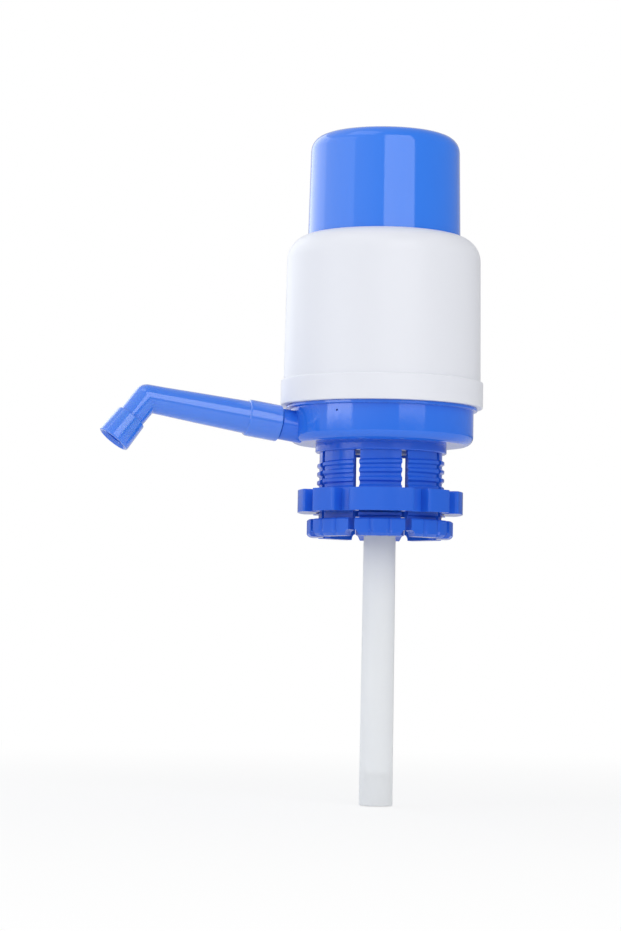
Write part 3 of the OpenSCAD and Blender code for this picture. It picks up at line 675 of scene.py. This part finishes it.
# mm and degrees, but the yaw and focal length in the photograph's pixels, and clipEnd in metres
view = {"azimuth": 18, "distance": 1287, "level": -95.4, "yaw": 70.4, "pitch": 3.91,
        "roll": -0.976, "focalLength": 2627, "photoHigh": 931, "sensor": 36, "clipEnd": 50}


def makeCamera():
    # the camera stands below the bowl and looks a little up
    side = math.radians(view["azimuth"])
    ahead = Vector((math.sin(side), math.cos(side), 0))
    right = Vector((math.cos(side), -math.sin(side), 0))
    turn = math.atan2(-view["yaw"], view["focalLength"])
    look = ahead * math.cos(turn) + right * math.sin(turn)
    right = right * math.cos(turn) - ahead * math.sin(turn)
    pitch = math.radians(view["pitch"])
    top = Vector((0, 0, 1)) * math.cos(pitch) - look * math.sin(pitch)
    look = look * math.cos(pitch) + Vector((0, 0, 1)) * math.sin(pitch)
    roll = math.radians(view["roll"])
    tilted = right * math.cos(roll) - top * math.sin(roll)
    top = top * math.cos(roll) + right * math.sin(roll)
    data = bpy.data.cameras.new("photoCamera")
    data.sensor_width = view["sensor"]
    data.lens = view["focalLength"] / view["photoHigh"] * view["sensor"]
    data.clip_end = view["clipEnd"]
    camera = bpy.data.objects.new("photoCamera", data)
    place = -ahead * view["distance"] * mm + Vector((0, 0, view["level"] * mm))
    camera.matrix_world = Matrix((
        (tilted.x, top.x, -look.x, place.x), (tilted.y, top.y, -look.y, place.y),
        (tilted.z, top.z, -look.z, place.z), (0, 0, 0, 1)))
    bpy.context.scene.collection.objects.link(camera)
    bpy.context.scene.camera = camera


# upright panels; azimuth from the camera's own direction, positive to the right; sizes in metres
lamps = {
    "leftPanel": {"azimuth": -75, "height": 0.65, "distance": 1.4, "wide": 1.49, "high": 0.9,
                  "watts": 2.6, "shade": (0.88, 0.93, 1)},
    "leftLowPanel": {"azimuth": -53, "height": 0.158, "distance": 1.4, "wide": 0.856,
                     "high": 0.085, "watts": 0.85, "shade": (0.9, 0.94, 1)},
    "backPanel": {"azimuth": -130, "height": 0.64, "distance": 1.4, "wide": 1.43, "high": 1.06,
                  "watts": 5.4, "shade": (0.88, 0.93, 1)},
    "rightPanel": {"azimuth": 22, "height": 0.85, "distance": 1.4, "wide": 1.2, "high": 1.3,
                   "watts": 8.8, "shade": (1, 1, 1)},
    "rightLowPanel": {"azimuth": 38, "height": 0.135, "distance": 1.4, "wide": 0.84,
                      "high": 0.032, "watts": 0.18, "shade": (1, 1, 1)},
    "topPanel": {"azimuth": -50, "height": 1.5, "distance": 0.75, "wide": 1.0, "high": 0.8,
                 "watts": 2.0, "shade": (1, 1, 1)}}
levelUpTo = 1  # metres; a lamp above this looks down to it


def makeLamps():
    for name, lamp in lamps.items():
        data = bpy.data.lights.new(name, "AREA")
        data.shape = "RECTANGLE"
        data.size, data.size_y, data.energy = lamp["wide"], lamp["high"], lamp["watts"]
        data.color = lamp["shade"]
        angle = math.radians(view["azimuth"] - lamp["azimuth"])
        away = lamp["distance"]
        place = Vector((-math.sin(angle) * away, -math.cos(angle) * away, lamp["height"]))
        aim = Vector((0, 0, min(lamp["height"], levelUpTo)))
        turn = (aim - place).to_track_quat("-Z", "Y").to_matrix().to_4x4()
        panel = bpy.data.objects.new(name, data)
        panel.matrix_world = Matrix.Translation(place) @ turn
        bpy.context.scene.collection.objects.link(panel)


sky = {"lamp": 0.64, "brightSide": -95, "dark": 0.35, "from": -0.5, "to": 0.7,
       "lowFrom": 0.05, "lowTo": 0.085}


def makeWorld():
    # white wherever the camera, a reflection or a see-through part looks, and softer as a lamp;
    # reflections find the studio's far side and the strip above the table darker
    world = bpy.data.worlds.new("studio")
    bpy.context.scene.world = world
    world.use_nodes = True
    tree = world.node_tree
    tree.nodes.clear()
    start = Wire(tree, None)
    camera, glossy, through = [start.node("ShaderNodeLightPath", out=kind) for kind in (
        "Is Camera Ray", "Is Glossy Ray", "Is Transmission Ray")]
    angle = math.radians(view["azimuth"] - sky["brightSide"])
    where = start.node("ShaderNodeTexCoord")
    side = start.node("ShaderNodeVectorMath", {"operation": "DOT_PRODUCT"}, {
        0: where, 1: (-math.sin(angle), -math.cos(angle), 0)}, "Value")
    bright = start.node("ShaderNodeMapRange", {}, {
        "Value": side, "From Min": sky["from"], "From Max": sky["to"],
        "To Min": sky["dark"], "To Max": 1.0})
    level = start.node("ShaderNodeSeparateXYZ", {}, {0: where}, "Z")
    bright *= start.node("ShaderNodeMapRange", {"interpolation_type": "SMOOTHSTEP"}, {
        "Value": level, "From Min": sky["lowFrom"], "From Max": sky["lowTo"],
        "To Min": sky["dark"], "To Max": 1.0})
    seen = start.node("ShaderNodeMath", {"operation": "MAXIMUM"}, {0: camera, 1: through})
    other = glossy * bright + (1 - glossy) * sky["lamp"]
    strength = seen + (1 - seen) * other
    light = start.node("ShaderNodeBackground", {}, {"Color": (1, 1, 1, 1), "Strength": strength})
    out = tree.nodes.new("ShaderNodeOutputWorld")
    tree.links.new(light.socket, out.inputs["Surface"])


ground = {"below": 0.4, "size": 6, "squares": 8, "shadow": 0.3, "fadeFrom": 0.12, "fadeTo": 0.75}


def makeFloor():
    # pale paper that keeps the shadow near the pump and runs out into the white background
    bm = bmesh.new()
    level = (tube["bottom"] - ground["below"]) * mm
    bmesh.ops.create_grid(bm, x_segments=ground["squares"], y_segments=ground["squares"],
                          size=ground["size"], matrix=Matrix.Translation((0, 0, level)))
    floor = finishMesh(bm, "floor")
    paper, where, attach, _ = newMaterial("floorPaper", {
        "Roughness": 0.9, "Specular IOR Level": 0.1})
    attach("Base Color", where.noise(3, 2, 0.5).shades((0.93, 0.93, 0.93), (0.95, 0.95, 0.95)))
    tree = paper.node_tree
    across = where.node("ShaderNodeVectorMath", {"operation": "MULTIPLY"},
                        {0: where, 1: (1, 1, 0)})
    reach = where.node("ShaderNodeVectorMath", {"operation": "LENGTH"}, {0: across}, 1)
    fade = where.node("ShaderNodeMapRange", {"interpolation_type": "SMOOTHSTEP"}, {
        "Value": reach, "From Min": ground["fadeFrom"], "From Max": ground["fadeTo"],
        "To Min": 1 - ground["shadow"], "To Max": 1.0})
    seen = fade * where.node("ShaderNodeLightPath", out="Is Camera Ray")
    glow = where.node("ShaderNodeEmission", {}, {"Color": (1, 1, 1, 1), "Strength": 1.0})
    shader = Wire(tree, tree.nodes["Principled BSDF"].outputs[0])
    both = where.node("ShaderNodeMixShader", {}, {0: seen, 1: shader, 2: glow})
    tree.links.new(both.socket, tree.nodes["Material Output"].inputs["Surface"])
    floor.data.materials.append(paper)


makeCamera()
makeLamps()
makeWorld()
makeFloor()
bpy.context.scene.view_settings.view_transform = "Standard"
print("camera and lamps made")
